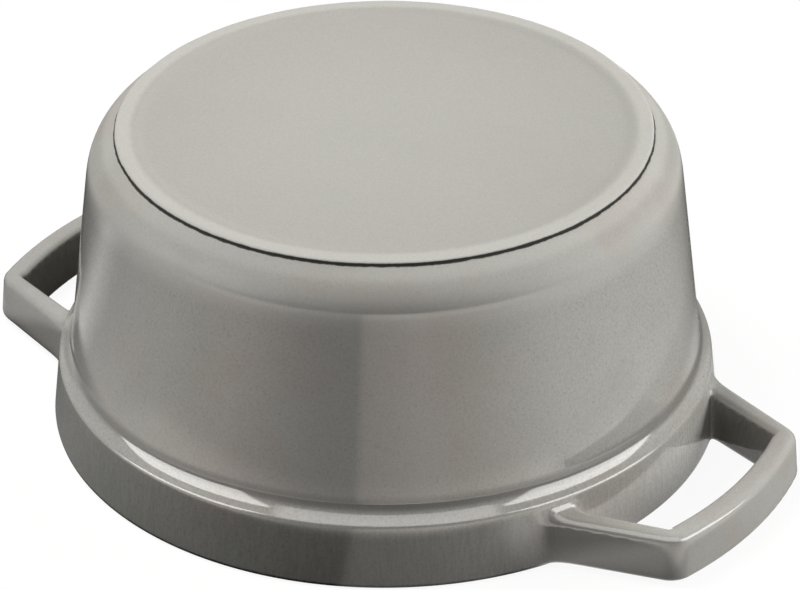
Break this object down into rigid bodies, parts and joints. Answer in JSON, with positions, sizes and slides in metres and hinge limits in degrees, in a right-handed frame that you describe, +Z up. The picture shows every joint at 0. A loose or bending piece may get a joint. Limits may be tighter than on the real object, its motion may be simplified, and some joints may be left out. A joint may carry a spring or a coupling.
{
  "type": "dutch oven",
  "caption": "Round enamelled cast-iron dutch oven with loop handles, standing upside down on its rim over its own lid, whose knob points up inside the pot.",
  "frame": {"origin": "centre of the rim circle, on the surface that the upturned pot stands on", "axes": "+Z up through the pot's base, +X along one loop handle, +Y completes the right-handed set"},
  "size_m": [0.2666, 0.2058, 0.0962],
  "materials": {
    "enamelled_iron": "warm grey gloss enamel with fine speckle, matt black inside",
    "knob_metal": "satin, turned",
    "fastener_steel": "plain"
  },
  "bodies": {
    "lid": {"lid": "enamelled_iron", "lid_knob": "knob_metal", "knob_washer": "fastener_steel", "knob_screw": "fastener_steel"},
    "pot": {"pot": "enamelled_iron"}
  },
  "joints": [
    {"name": "pot_lift", "type": "slide", "parent": "lid", "child": "pot", "axis": [0, 0, 1], "range_m": [0, 0.12]}
  ]
}
